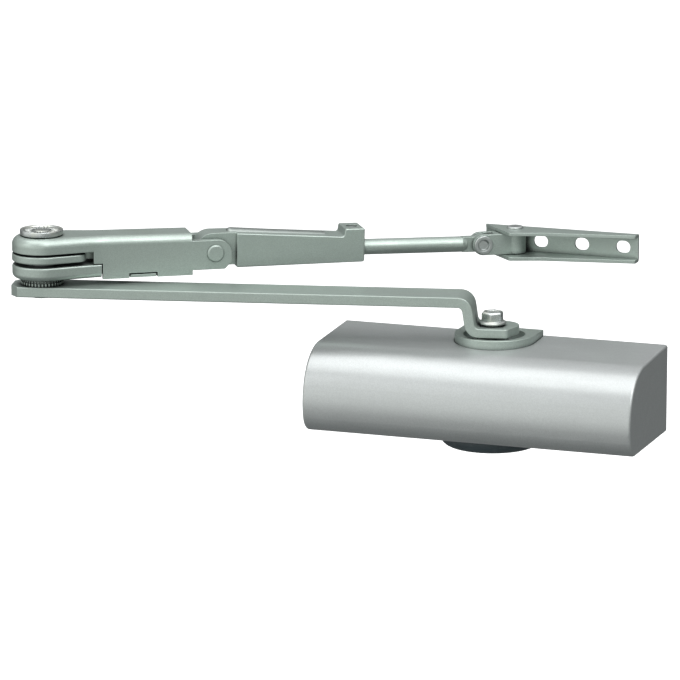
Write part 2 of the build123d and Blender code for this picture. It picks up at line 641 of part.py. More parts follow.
def make_elbow_block():
    """Lower leaf of the elbow."""
    low, high = LOWER_LEAF
    plan = leaf_plan(ELBOW_RADIUS, CASING_HALF_WIDTH, 60) & Pos(-20 + 28.5 / 2, 0) * Rectangle(40 + 28.5, 60)
    leaf = extrude(Pos(0, 0, low) * plan, high - low)
    rim = [e for e in leaf.faces().sort_by(Axis.Z)[0].edges() if e.center().X < 27]
    leaf = fillet(rim, 2.6)
    rim = [e for e in leaf.faces().sort_by(Axis.Z)[-1].edges() if e.center().X < 27]
    leaf = fillet(rim, 0.9)
    leaf += box(28, 36, -CASING_HALF_WIDTH + CASING_WALL + 0.05, CASING_HALF_WIDTH - CASING_WALL - 0.05, 51, high)
    return on_forearm(leaf - upright(0, 0, low - 1, high + 1, PIN_RADIUS + RUNNING_GAP))


def make_friction_leaf():
    """Middle leaf of the elbow, squeezed by the knob to hold the door open."""
    low, high = MIDDLE_LEAF
    plan = leaf_plan(ELBOW_RADIUS + 0.1, CASING_HALF_WIDTH - 0.9, 60) & Pos(1, 0) * Rectangle(40, 60)
    for side in (1, -1):
        plan = round_corner(plan, 21, side * 8, 5.0)
    tongue = Pos(22, 0) * Rectangle(16, 8)
    leaf = extrude(Pos(0, 0, low) * plan, high - low)
    leaf = fillet(leaf.edges().filter_by(Plane.XY), 0.7)
    leaf += extrude(Pos(0, 0, low) * tongue, high - low)
    return on_forearm(leaf - upright(0, 0, low - 1, high + 1, PIN_RADIUS + RUNNING_GAP))


def make_spacer_washers():
    """The two plain washers between the leaves."""
    washers = []
    for low, high, radius in (
        (LOWER_LEAF[1], MIDDLE_LEAF[0], 8.6),
        (MIDDLE_LEAF[1], TOP_LEAF_LOW, 9.0),
    ):
        ring = upright(0, 0, low + 0.02, high - 0.02, radius)
        washers.append(on_forearm(ring - upright(0, 0, low, high, PIN_RADIUS + RUNNING_GAP)))
    return Compound(children=washers)


SPRING_BORE_RADIUS = 6.6
DISC_SPRING_TOP = 68.0


def make_disc_springs():
    """Pair of disc springs under the knob."""
    low = TOP_LEAF_LOW + 3.0
    half = (DISC_SPRING_TOP - low) / 2
    cups = []
    for index, narrow_up in enumerate((True, False)):
        z0 = low + index * half
        outer = SPRING_BORE_RADIUS - 0.1
        profile = [(4.2, 0.0), (outer, 0.0), (outer, 0.5), (4.2, 0.5)]
        cone = revolve(Plane.XZ * outline(profile), Axis.Z)
        lift = 0.02 if index == 0 else half - 0.54
        cups.append(on_forearm(Pos(0, 0, z0 + lift) * cone))
    return Compound(children=cups)


def make_knob():
    """Knob with a knurled dish that sets the hold-open friction."""
    disc = upright(0, 0, KNOB_LOW, KNOB_TOP, KNOB_RADIUS)
    disc = fillet(disc.faces().sort_by(Axis.Z)[-1].edges(), 0.5)
    disc -= upright(0, 0, KNOB_TOP - 0.7, KNOB_TOP + 1, KNOB_RADIUS - 2.0)
    hub = upright(0, 0, DISC_SPRING_TOP + 0.05, KNOB_LOW, SPRING_BORE_RADIUS - 0.15)
    knob = disc + hub
    teeth = 24
    rib = Pos(KNOB_RADIUS - 3.4, 0, KNOB_TOP - 0.45) * Box(2.9, 0.7, 0.5)
    for index in range(teeth):
        knob += Rot(0, 0, index * 360 / teeth) * rib
    return on_main_arm(Pos(-ARM_LENGTH, 0, 0) * (knob - upright(0, 0, 60, KNOB_TOP - 0.8, 4.05)))


# ---------------------------------------------------------------- forearm
def make_forearm_casing():
    """Formed casing: upper leaf of the elbow, channel and two lugs."""
    plan = leaf_plan(ELBOW_RADIUS, CASING_HALF_WIDTH, CASING_END)
    upper = extrude(Pos(0, 0, TOP_LEAF_LOW) * plan, CASING_TOP - TOP_LEAF_LOW)
    slope = math.degrees(math.atan2(CASING_TOP - CASING_TOP_FAR, CASING_END - ELBOW_RADIUS))
    wedge = Pos(ELBOW_RADIUS, 0, CASING_TOP) * Rot(0, slope, 0) * Pos(50, 0, 5) * Box(100, 60, 10)
    upper -= wedge
    top_faces = [f for f in upper.faces() if f.normal_at().Z > 0.9]
    rim = [e for f in top_faces for e in f.edges()]
    rim = [e for e in rim if e.center().X < CASING_END - 0.5 and abs(e.center().Y) > 0.5 or e.center().X < 0]
    upper = fillet(rim, 4.2)
    step = LOWER_LEAF[1] + 0.5
    middle = extrude(Pos(0, 0, step) * (plan & Pos(74.5, 0) * Rectangle(100, 60)), TOP_LEAF_LOW - step)
    lower = extrude(Pos(0, 0, CASING_BOTTOM) * (plan & Pos(79.1, 0) * Rectangle(100, 60)), step - CASING_BOTTOM)
    body = upper + middle + lower
    inner = CASING_HALF_WIDTH - CASING_WALL
    body -= box(22, CASING_END + 1, -inner, inner, CASING_BOTTOM - 1, CASING_TOP_FAR - 1.6)
    lug = side_plate(
        [
            (CASING_END - 1, LUG_BOTTOM), (RIVET_X + 4.8, LUG_BOTTOM), (LUG_END, LUG_BOTTOM + 3.6),
            (LUG_END, LUG_TOP), (CASING_END - 1, LUG_TOP),
        ],
        -CASING_HALF_WIDTH,
        CASING_HALF_WIDTH,
        rounds=[(LUG_END, LUG_TOP, 7.2), (LUG_END, LUG_BOTTOM + 3.6, 1.5), (RIVET_X + 4.8, LUG_BOTTOM, 1.5)],
    )
    body += lug - box(CASING_END - 2, LUG_END + 1, -LUG_INNER, LUG_INNER, 40, 80)
    body -= along_y(RIVET_X, RIVET_Z, -12, 12, RIVET_RADIUS + 0.01)
    body -= upright(0, 0, TOP_LEAF_LOW - 1, CASING_TOP + 1, PIN_RADIUS + RUNNING_GAP)
    body -= upright(0, 0, TOP_LEAF_LOW + 3, CASING_TOP + 1, SPRING_BORE_RADIUS)
    body -= box(*TAB_X, -CASING_HALF_WIDTH - 1, -inner + 0.5, CASING_BOTTOM - 1, TAB_TOP)
    return on_forearm(body)


TAB_X = (42.5, 57.0)
TAB_TOP = 51.2
PLATE_TOP = 49.5


def make_casing_bottom_plate():
    """Sheet that closes the casing from below, with a tab in the front wall."""
    inner = CASING_HALF_WIDTH - CASING_WALL - 0.03
    plate = box(37, CASING_END - 1, -inner, inner, CASING_BOTTOM + 0.2, PLATE_TOP)
    tab = box(TAB_X[0] + 0.7, TAB_X[1] - 0.7, -CASING_HALF_WIDTH + 0.3, -inner + 1, CASING_BOTTOM + 0.2, TAB_TOP - 0.8)
    return on_forearm(plate + tab)


def make_hinge_rivet():
    """Domed rivet between the casing and the adjuster block."""
    shank = along_y(RIVET_X, RIVET_Z, -CASING_HALF_WIDTH, CASING_HALF_WIDTH, RIVET_RADIUS)
    rivet = shank
    for side in (1, -1):
        head = along_y(RIVET_X, RIVET_Z, *sorted((side * CASING_HALF_WIDTH, side * (CASING_HALF_WIDTH + 1.4))), 4.4)
        far = head.faces().sort_by(Axis.Y)[-1 if side > 0 else 0]
        rivet += fillet(far.edges(), 1.0)
    return on_forearm(rivet)


BAR_RADIUS = 3.6
BAR_START = (94.0, 12.2)         # along the forearm, and height of the bar's crown over the rod axis
BAR_END = (145.4, 8.6)
BAR_DEPTH = 3.3


def locking_bar_solid():
    """Half-round bar that lies in the top of the adjuster block, level with the forearm."""
    length = BAR_END[0] - BAR_START[0]
    lean = math.degrees(math.atan2(BAR_START[1] - BAR_END[1], length))
    bar = Rot(0, 90, 0) * Cylinder(BAR_RADIUS, length)
    bar = fillet(bar.edges().sort_by(Axis.X)[0], 2.4)
    bar -= Pos(0, 0, -BAR_DEPTH) * box(-length, length, -20, 20, -20, BAR_RADIUS)
    middle = ((BAR_START[0] + BAR_END[0]) / 2, (BAR_START[1] + BAR_END[1]) / 2)
    return Pos(middle[0], 0, ROD_Z + middle[1] - BAR_RADIUS) * Rot(0, lean, 0) * bar


CLAMP_X = 159.7
CLAMP_RADIUS = 3.0
CLAMP_TOP = 10.4


def make_adjuster_block():
    """Block that hinges on the casing and clamps the rod."""
    z = RIVET_Z
    body = side_plate(
        [
            (BLOCK_START, z - 8.25), (BLOCK_END, z - 7.1), (BLOCK_END, z + 10.1), (BOSS_START, z + 10.1),
            (BOSS_START - 0.5, z + 6.1), (BLOCK_START, z + 9.3),
        ],
        -BLOCK_HALF_WIDTH,
        BLOCK_HALF_WIDTH,
        rounds=[
            (BOSS_START - 0.5, z + 6.1, 1.4), (BLOCK_END, z - 7.1, 1.2), (BLOCK_END, z + 10.1, 0.8),
            (BOSS_START, z + 10.1, 0.8), (BLOCK_START, z + 9.3, 0.8), (BLOCK_START, z - 8.25, 0.8),
        ],
    )
    body = fillet([e for e in body.edges() if e.length > 40], 0.6)
    disc = along_y(RIVET_X, z, -TONGUE_HALF_WIDTH, TONGUE_HALF_WIDTH, TONGUE_RADIUS)
    neck = box(RIVET_X, BLOCK_START + 0.5, -TONGUE_HALF_WIDTH, TONGUE_HALF_WIDTH, z - 7, z + TONGUE_RADIUS)
    tongue = (disc + neck) - box(RIVET_X - 20, RIVET_X + 20, -10, 10, z - 20, z - 7)
    body += tongue
    body -= locking_bar_solid()
    body -= along_x(0, ROD_Z, ROD_START - 10, BLOCK_END + 1, ROD_RADIUS + RUNNING_GAP)
    body -= upright(CLAMP_X, 0, z, z + 12, CLAMP_RADIUS + RUNNING_GAP)
    body -= along_y(RIVET_X, z, -10, 10, RIVET_RADIUS + RUNNING_GAP)
    return on_rod(body)


def make_locking_bar():
    """Half-round bar set in the adjuster block."""
    return on_rod(locking_bar_solid() & box(80, 200, -20, 20, 0, 200))


def make_clamp_screw():
    """Set screw that clamps the rod."""
    z = ROD_Z
    screw = upright(CLAMP_X, 0, z + ROD_RADIUS + 0.05, z + CLAMP_TOP, CLAMP_RADIUS)
    screw -= Pos(CLAMP_X, 0, z + CLAMP_TOP - 3) * extrude(hexagon(3.0), 4)
    return on_rod(screw)


def make_rod():
    """Round rod with a flattened eye."""
    z = ROD_Z
    shoulder = EYE_X - 10.5
    rod = along_x(0, z, ROD_START, shoulder, ROD_RADIUS)
    rod = chamfer(rod.edges().sort_by(Axis.X)[0], 0.6)
    neck = Pos(shoulder + 1.25, 0, z) * Rot(0, 90, 0) * Cone(ROD_RADIUS, 3.0, 2.5)
    eye = along_y(EYE_X, z, -EYE_HALF_WIDTH, EYE_HALF_WIDTH, EYE_RADIUS)
    web = box(shoulder, EYE_X, -EYE_HALF_WIDTH, EYE_HALF_WIDTH, z - 3.9, z + 3.9)
    rod += neck + eye + web
    return on_rod(rod - along_y(EYE_X, z, -5, 5, KNUCKLE_RIVET_RADIUS + RUNNING_GAP))


# ---------------------------------------------------------------- knuckle and shoe
KNUCKLE_RIVET_RADIUS = 3.0


def make_knuckle():
    """Fork on the rod's eye with an upright barrel for the shoe pin."""
    x, z = EYE_REST_X, EYE_REST_Z
    barrel_x = x + KNUCKLE_LENGTH
    fork = along_y(x, z, -CHEEK_OUTER, CHEEK_OUTER, CHEEK_RADIUS)
    fork += box(x, barrel_x, -CHEEK_OUTER, CHEEK_OUTER, z - CHEEK_RADIUS, z + CHEEK_RADIUS)
    fork -= box(x - 8, x + 6.2, -CHEEK_INNER, CHEEK_INNER, z - 10, z + 10)
    barrel = upright(barrel_x, 0, z - BARREL_HALF_HEIGHT, z + BARREL_HALF_HEIGHT, BARREL_RADIUS)
    barrel = fillet(barrel.edges().filter_by(GeomType.CIRCLE), 0.5)
    body = fork + barrel
    body -= upright(barrel_x, 0, z - 10, z + 10, SHOE_PIN_RADIUS + RUNNING_GAP)
    return on_forearm(body - along_y(x, z, -10, 10, KNUCKLE_RIVET_RADIUS + 0.01))


def make_knuckle_rivet():
    """Rivet with dished heads through the fork and the rod's eye."""
    x, z = EYE_REST_X, EYE_REST_Z
    face = CHEEK_OUTER + 1.0
    rivet = along_y(x, z, -face, face, KNUCKLE_RIVET_RADIUS)
    for side in (1, -1):
        head = along_y(x, z, *sorted((side * CHEEK_OUTER, side * face)), 4.8)
        rim = head.faces().sort_by(Axis.Y)[-1 if side > 0 else 0].edges()
        rivet += fillet(rim, 0.4)
    for side in (1, -1):
        rivet -= Pos(x, side * (face - 0.8), z) * Rot(-side * 90, 0, 0) * Cone(2.3, 3.1, 1.6)
    return on_forearm(rivet)


def make_shoe():
    """Channel-shaped shoe that is screwed to the door frame."""
    web_back = SHOE_WEB_Y + SHOE_SHEET
    plan = outline([
        (SHOE_LEFT, web_back), (SHOE_RIGHT, web_back), (SHOE_RIGHT, 1.1), (16.8, -7.8),
        (1.2, -13.5), (SHOE_LEFT, 5.6),
    ])
    for x, y, radius in ((1.2, -13.5, 1.5), (16.8, -7.8, 20.0), (SHOE_RIGHT, 1.1, 1.0)):
        plan = round_corner(plan, x, y, radius)
    body = extrude(Pos(0, 0, -SHOE_HALF_HEIGHT) * plan, 2 * SHOE_HALF_HEIGHT)
    back_edges = [e for e in body.edges().filter_by(Axis.X) if e.center().Y > web_back - 0.1]
    body = fillet(back_edges, 1.6)
    gap = SHOE_HALF_HEIGHT - SHOE_SHEET
    body -= box(SHOE_LEFT - 1, SHOE_RIGHT + 1, -20, SHOE_WEB_Y, -gap, gap)
    for index in range(3):
        x = SHOE_HOLE_X + index * SHOE_HOLE_PITCH
        straight = SHOE_SLOT_LENGTH - 2 * SHOE_HOLE_RADIUS
        for end in (-straight / 2, straight / 2):
            body -= along_y(x + end, 0, 0, 20, SHOE_HOLE_RADIUS)
        body -= box(x - straight / 2, x + straight / 2, 0, 20, -SHOE_HOLE_RADIUS, SHOE_HOLE_RADIUS)
    body -= upright(0, 0, -10, 10, SHOE_PIN_RADIUS + 0.01)
    return Pos(SHOE_PIN_X, SHOE_PIN_Y, EYE_REST_Z) * body


def make_shoe_pin():
    """Rivet pin through the shoe and the knuckle's barrel."""
    half = SHOE_HALF_HEIGHT
    pin = upright(0, 0, -half, half, SHOE_PIN_RADIUS)
    head = upright(0, 0, half, half + 1.1, 4.2)
    pin += fillet(head.faces().sort_by(Axis.Z)[-1].edges(), 0.7)
    foot = upright(0, 0, -half - 1.0, -half, 3.2)
    pin += fillet(foot.faces().sort_by(Axis.Z)[0].edges(), 0.6)
    return Pos(SHOE_PIN_X, SHOE_PIN_Y, EYE_REST_Z) * pin


# ---------------------------------------------------------------- write every piece
PIECES = {
    "cover": make_cover(),
    "housing": make_housing(),
    "spindle_collar": make_collar(),
    "lower_cap": make_lower_cap(),
    "upper_bearing": make_bearing(1),
    "lower_bearing": make_bearing(-1),
    "upper_shaft_seal": make_shaft_seal(1),
    "lower_shaft_seal": make_shaft_seal(-1),
    "left_end_plug": make_left_plug(),
    "right_end_plug": make_right_plug(),
    "plug_o_rings": make_plug_o_rings(),
    "closing_valve_screw": make_valve(1),
    "latching_valve_screw": make_valve(-1),
    "piston": make_piston(),
    "piston_seal_ring": make_piston_seal(),
    "check_ball": make_check_ball(),
    "check_ball_retainer": make_check_retainer(),
    "return_spring": make_return_spring(),
    "pinion_spindle": make_pinion_spindle(),
    "main_arm": make_main_arm(),
    "arm_lock_washer": make_arm_lock_washer(),
    "arm_bolt": make_arm_bolt(),
    "elbow_pin": make_elbow_pin(),
    "serrated_washer": make_serrated_washer(),
    "elbow_block": make_elbow_block(),
    "friction_leaf": make_friction_leaf(),
    "spacer_washers": make_spacer_washers(),
    "disc_springs": make_disc_springs(),
    "hold_open_knob": make_knob(),
    "forearm_casing": make_forearm_casing(),
    "casing_bottom_plate": make_casing_bottom_plate(),
    "hinge_rivet": make_hinge_rivet(),
    "adjuster_block": make_adjuster_block(),
    "locking_bar": make_locking_bar(),
    "clamp_screw": make_clamp_screw(),
    "forearm_rod": make_rod(),
    "knuckle": make_knuckle(),
    "knuckle_rivet": make_knuckle_rivet(),
    "shoe": make_shoe(),
    "shoe_pin": make_shoe_pin(),
}

for piece_name, piece in PIECES.items():
    save(piece_name, piece)
print(f"elbow axis {ELBOW_X:.3f} {ELBOW_Y:.3f}")
print(f"eye {EYE_REST_X:.3f} {EYE_REST_Z:.3f}  shoe pin {SHOE_PIN_X:.3f} {SHOE_PIN_Y:.3f}")
print(f"piston travel {PISTON_TRAVEL:.3f}, pitch radius {PITCH_RADIUS}")
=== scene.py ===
"""Overhead door closer: finishes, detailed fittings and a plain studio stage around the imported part."""

import json
from math import atan2, cos, pi, radians

import bmesh
import bpy
from bpy.props import FloatProperty, FloatVectorProperty, IntProperty, PointerProperty
from mathutils import Matrix, Vector


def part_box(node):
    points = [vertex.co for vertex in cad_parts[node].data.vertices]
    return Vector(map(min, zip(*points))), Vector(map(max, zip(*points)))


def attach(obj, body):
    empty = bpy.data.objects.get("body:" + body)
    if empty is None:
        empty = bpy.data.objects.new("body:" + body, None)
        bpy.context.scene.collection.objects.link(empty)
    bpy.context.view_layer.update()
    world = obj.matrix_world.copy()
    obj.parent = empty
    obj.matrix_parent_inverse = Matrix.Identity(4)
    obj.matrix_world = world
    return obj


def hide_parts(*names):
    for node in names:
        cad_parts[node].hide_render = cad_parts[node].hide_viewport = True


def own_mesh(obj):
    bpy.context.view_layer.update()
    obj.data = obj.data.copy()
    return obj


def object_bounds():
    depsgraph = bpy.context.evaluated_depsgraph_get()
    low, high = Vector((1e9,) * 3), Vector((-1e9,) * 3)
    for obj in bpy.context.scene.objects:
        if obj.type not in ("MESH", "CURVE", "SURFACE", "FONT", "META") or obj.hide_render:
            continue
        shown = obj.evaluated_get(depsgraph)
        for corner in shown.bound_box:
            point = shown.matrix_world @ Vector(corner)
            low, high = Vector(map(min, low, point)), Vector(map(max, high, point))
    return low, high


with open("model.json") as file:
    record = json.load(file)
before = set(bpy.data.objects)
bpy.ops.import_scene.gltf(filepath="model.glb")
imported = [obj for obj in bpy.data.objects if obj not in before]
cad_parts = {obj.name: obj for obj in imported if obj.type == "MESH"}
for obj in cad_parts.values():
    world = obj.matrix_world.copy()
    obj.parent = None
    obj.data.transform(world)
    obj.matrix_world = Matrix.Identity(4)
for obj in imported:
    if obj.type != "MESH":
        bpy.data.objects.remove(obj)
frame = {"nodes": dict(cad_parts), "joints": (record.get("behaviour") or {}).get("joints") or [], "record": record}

bl_info = {
    "name": "Door Closer",
    "version": (1, 0, 0),
    "blender": (4, 5, 0),
    "location": "3D View > Sidebar > Door Closer",
    "description": "Builds the finishes and fittings of an overhead door closer",
    "category": "Object",
}

CAD_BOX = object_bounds()
NODES = frame["nodes"]
SLOT_OF = {row["node"]: row["material_slot"] for row in frame["record"]["subparts"]}
RIVETS = ("knuckle_rivet", "shoe_pin")  # steel, but lighter than the other steel
JOINTS = {joint["name"]: joint for joint in frame["joints"]}
SPINDLE = Vector(JOINTS["spindle_turn"]["pos_m"])
ELBOW = Vector(JOINTS["elbow_turn"]["pos_m"])
FOREARM_ANGLE = 33.1  # degrees from the X axis
SMOOTH_ANGLE = radians(40)
HAIR = 0.0002  # the usual bevel and overlap
MERGE = 0.000005

# place, what it points at, and width and depth, in metres
LIGHTS = {
    "softbox": ((0.0, -0.30, 1.4), (0.0, -0.04, 0.0), (2.4, 1.3)),
    "window": ((-1.6, -2.0, 1.3), (-0.05, -0.05, 0.0), (1.4, 1.0)),
    "skylight": ((1.2, -1.2, 1.6), (-0.05, -0.03, 0.0), (1.4, 1.2)),
}
CAMERA_PLACE = (0.7477, -2.3346, 0.5686)
CAMERA_TURN = (radians(77.34), 0, radians(19.69))
SENSOR_WIDTH = 36  # millimetres
FLOOR_SIZE = 30
FLOOR_CENTRE_Y = 5


# ---------------------------------------------------------------- sizes and colours
def colour(name, description, default):
    """A colour that may be a little brighter than white, as light is."""
    return FloatVectorProperty(
        name=name, description=description, default=default, subtype="COLOR", size=3, min=0, max=2
    )


def length(name, description, default):
    """A length in metres."""
    return FloatProperty(
        name=name, description=description, default=default, unit="LENGTH", min=0, precision=5
    )


def count(name, description, default, least, most):
    """A number of repeats."""
    return IntProperty(name=name, description=description, default=default, min=least, max=most)


def power(name, description, default):
    """The power of a light in watts."""
    return FloatProperty(name=name, description=description, default=default, unit="POWER", min=0)


class CloserFinishes(bpy.types.PropertyGroup):
    """Colours of the painted, plated and moulded surfaces"""

    cover: colour("Cover", "Silver lacquer of the body cover", (0.50, 0.522, 0.522))
    arm: colour("Arm", "Grey enamel of the arm, elbow and shoe", (0.42, 0.487, 0.45))
    cap: colour("Cap", "Dark plastic of the lower cap", (0.040, 0.058, 0.066))
    casting: colour("Casting", "Bare aluminium of the housing", (0.50, 0.51, 0.52))
    zinc: colour("Zinc", "Bright zinc plating of the bolt, lock washer and knob", (0.60, 0.63, 0.62))
    steel: colour("Steel", "Ground steel of spindle, piston and bearings", (0.38, 0.39, 0.40))
    bright_steel: colour("Bright steel", "Drawn steel of the locking bar", (0.30, 0.33, 0.315))
    rivet_steel: colour("Rivet steel", "Headed steel of the knuckle and shoe rivets", (0.54, 0.57, 0.56))
    rubber: colour("Rubber", "Black nitrile rubber of seals and rings", (0.018, 0.018, 0.019))
    brass: colour("Brass", "Turned brass of the valve screws", (0.70, 0.50, 0.22))


class CloserSizes(bpy.types.PropertyGroup):
    """Sizes of the fittings and of the grain of the finishes"""

    paint_edge: length("Paint edge", "Radius that paint leaves on a stamped edge", 0.00045)
    flake: length("Flake", "Size of the metal flakes in the lacquer", 0.00035)
    peel: length("Peel", "Width of the ripples in the dried paint", 0.0022)
    grain: length("Grain", "Width of the grain moulded into plastic", 0.0006)
    flats: length("Bolt flats", "Width across flats of the arm bolt", 0.010)
    flange: length("Bolt flange", "Radius of the arm bolt's flange", 0.0070)
    head: length("Bolt head", "Height of the arm bolt's head", 0.0060)
    shank: length("Bolt shank", "Radius of the arm bolt's shank", 0.00299)
    bite: length("Lock washer teeth", "How far the lock washer's teeth stand out", 0.0006)
    rim: length("Knob rim", "Width of the flat rim of the knob", 0.0013)
    dish: length("Knob dish", "Depth of the dish inside the knob's rim", 0.0010)
    hub: length("Knob hub", "Radius of the hub under the knob", 0.00645)
    teeth: count("Teeth", "Teeth round the friction washer", 38, 12, 90)
    ribs: count("Knob ribs", "Raised ribs in the knob's dish", 24, 8, 60)


class CloserStage(bpy.types.PropertyGroup):
    """Floor, light and camera"""

    floor: colour("Floor", "Colour of the floor", (0.93, 0.93, 0.93))
    floor_glow: FloatProperty(
        name="Floor glow", description="Light that the backlit floor gives off", default=0.62, min=0
    )
    floor_drop: length("Floor drop", "Height of the object's lowest point over the floor", 0.20)
    below: colour("Below", "Light from under the horizon", (0.21, 0.22, 0.22))
    front: colour("Front", "Light from the front of the room", (1.05, 1.07, 1.04))
    front_right: colour("Front right", "Light from the front on the right", (0.44, 0.47, 0.45))
    back_left: colour("Back left", "Light from behind on the left", (0.16, 0.17, 0.17))
    back_right: colour("Back right", "Light from behind on the right", (0.10, 0.105, 0.105))
    ceiling: colour("Ceiling", "Light from above", (0.62, 0.63, 0.63))
    softbox: power("Softbox", "Power of the softbox overhead", 18)
    window: power("Window", "Power of the large light at the front left", 7)
    skylight: power("Skylight", "Power of the high light at the front right", 14)
    lens: FloatProperty(name="Lens", description="Focal length", default=264.7, min=10, unit="CAMERA")


# ---------------------------------------------------------------- shader maths
# sockets of a Mix node that mixes colours
FACTOR_IN, FIRST_COLOUR_IN, SECOND_COLOUR_IN, COLOUR_OUT = 0, 6, 7, 2


class Link:
    """A socket that adds Math nodes when it is used in an expression"""

    def __init__(self, tree, socket):
        self.tree = tree
        self.socket = socket

    def _math(self, operation, first, second):
        node = Nodes(self.tree).add("ShaderNodeMath", {"operation": operation}, {0: first, 1: second})
        return Link(self.tree, node.outputs[0])

    def __add__(self, other):
        return self._math("ADD", self, other)

    def __radd__(self, other):
        return self._math("ADD", other, self)

    def __sub__(self, other):
        return self._math("SUBTRACT", self, other)

    def __rsub__(self, other):
        return self._math("SUBTRACT", other, self)

    def __mul__(self, other):
        return self._math("MULTIPLY", self, other)

    def __rmul__(self, other):
        return self._math("MULTIPLY", other, self)


class Nodes:
    """A node tree under construction"""

    def __init__(self, tree):
        self.tree = tree

    def add(self, kind, settings=None, values=None):
        """Adds a node with its settings first and then the values or links of its sockets."""
        node = self.tree.nodes.new(kind)
        for name, value in (settings or {}).items():
            setattr(node, name, value)
        for name, value in (values or {}).items():
            socket = node.inputs[name]
            if isinstance(value, Link):
                self.tree.links.new(value.socket, socket)
            elif isinstance(value, bpy.types.NodeSocket):
                self.tree.links.new(value, socket)
            else:
                socket.default_value = value
        return node

    def band(self, value, low, high):
        """0 below low, 1 above high, smooth between."""
        settings = {"interpolation_type": "SMOOTHSTEP"}
        values = {"Value": value, "From Min": low, "From Max": high}
        return Link(self.tree, self.add("ShaderNodeMapRange", settings, values).outputs[0])

    def mix(self, amount, first, second):
        """A colour between two, each a link or red, green and blue."""
        first, second = (tint if isinstance(tint, Link) else (*tint, 1) for tint in (first, second))
        values = {FACTOR_IN: amount, FIRST_COLOUR_IN: first, SECOND_COLOUR_IN: second}
        node = self.add("ShaderNodeMix", {"data_type": "RGBA"}, values)
        return Link(self.tree, node.outputs[COLOUR_OUT])


class Finish(Nodes):
    """A material under construction"""

    def __init__(self, name, **constants):
        self.material = bpy.data.materials.new(name)
        self.material.use_nodes = True
        super().__init__(self.material.node_tree)
        self.shader = self.tree.nodes["Principled BSDF"]
        for socket, value in constants.items():
            self.shader.inputs[socket.replace("_", " ")].default_value = value
        self.place = self.add("ShaderNodeTexCoord").outputs["Object"]

    def spread(self, scale, turn=0.0):
        """Object coordinates, scaled, and turned about the upright axis."""
        values = {"Vector": self.place, "Scale": scale, "Rotation": (0, 0, turn)}
        return self.add("ShaderNodeMapping", None, values).outputs[0]

    def noise(self, size, detail=3.0, rough=0.55, vector=None):
        """Noise whose features are about size metres wide, 0 to 1."""
        values = {"Vector": vector or self.place, "Scale": 1 / size, "Detail": detail, "Roughness": rough}
        return Link(self.tree, self.add("ShaderNodeTexNoise", None, values).outputs[0])

    def cells(self, size, output):
        """Voronoi cells about size metres wide, by their colour or the distance from their middle."""
        node = self.add("ShaderNodeTexVoronoi", None, {"Vector": self.place, "Scale": 1 / size})
        return Link(self.tree, node.outputs[output])

    def edge(self, radius):
        """1 along outer and inner edges, 0 on flat ground, with the softened normal."""
        soft = self.add("ShaderNodeBevel", {"samples": 6}, {"Radius": radius}).outputs[0]
        true = self.add("ShaderNodeNewGeometry").outputs["True Normal"]
        dot = self.add("ShaderNodeVectorMath", {"operation": "DOT_PRODUCT"}, {0: soft, 1: true})
        return self.band(1 - Link(self.tree, dot.outputs["Value"]), 0.02, 0.25), soft

    def hollow(self, reach):
        """1 deep in gaps and corners, 0 on open ground: the mask for painted shade."""
        open_sky = self.add("ShaderNodeAmbientOcclusion", {"samples": 8}, {"Distance": reach}).outputs["AO"]
        return 1 - self.band(Link(self.tree, open_sky), 0.22, 0.78)

    def bump(self, height, depth, normal=None):
        """A normal from a height of 0 to 1 that is depth metres deep."""
        values = {"Height": height, "Distance": depth, "Strength": 1.0}
        if normal is not None:
            values["Normal"] = normal
        return self.add("ShaderNodeBump", None, values).outputs[0]

    def set(self, **links):
        """Links sockets of the shader."""
        for name, value in links.items():
            socket = self.shader.inputs[name.replace("_", " ")]
            self.tree.links.new(value.socket if isinstance(value, Link) else value, socket)
        return self.material


def shade(tint, factor):
    """A colour made lighter or darker."""
    return tuple(min(1.0, c * factor) for c in tint)


# ---------------------------------------------------------------- finishes
# near-black colour of the painted shade in the enamel's gaps and corners
GAP_SHADE = (0.012, 0.015, 0.014)
DUST = (0.30, 0.31, 0.31)
YELLOW_BLOOM = (0.62, 0.635, 0.58)
BLUE_BLOOM = (0.50, 0.55, 0.60)
# dark colour of the painted shade in the zinc's hollows, such as the knob's dish
ZINC_GAP_SHADE = (0.03, 0.035, 0.035)
# light colour of the zinc's edges: partly wear, partly a painted edge highlight
ZINC_WORN_LIT_EDGE = (0.82, 0.84, 0.84)
# near-black colour of the painted shade in the steel's hollows
STEEL_GAP_SHADE = (0.02, 0.02, 0.02)
TALC = (0.24, 0.24, 0.23)
TARNISH = (0.30, 0.19, 0.08)


def silver_lacquer(finishes, sizes):
    """Metallic lacquer over a formed cover: fine flake, faint ripples, and edges painted lighter, partly rubbed
    wear and partly a painted edge highlight.
    """
    f = Finish("silver_lacquer", Coat_Roughness=0.12, Specular_IOR_Level=0.5)
    flake = f.cells(sizes.flake, "Color")
    cloud = f.noise(0.045, 4)
    edge_wear_and_highlight, soft = f.edge(sizes.paint_edge * 1.6)
    tint = f.mix(f.band(flake, 0.2, 0.9), shade(finishes.cover, 0.93), shade(finishes.cover, 1.06))
    tint = f.mix(f.band(cloud, 0.35, 0.7) * 0.25, tint, shade(finishes.cover, 0.86))
    # edges painted lighter: partly rubbed wear, partly a painted edge highlight
    tint = f.mix(edge_wear_and_highlight * 0.45, tint, shade(finishes.cover, 1.25))
    smear = f.noise(0.02, 5, 0.6, f.spread((1, 5, 5)))
    roughness = 0.35 + f.band(smear, 0.4, 0.75) * 0.08 + flake * 0.04
    peel = f.noise(sizes.peel, 2)
    specks = f.noise(0.0009, 2)
    normal = f.bump(peel + specks * 0.15, 0.000012, soft)
    return f.set(
        Base_Color=tint, Roughness=roughness, Metallic=0.62 + flake * 0.10,
        Coat_Weight=0.22 + cloud * 0.10, Normal=normal,
    )


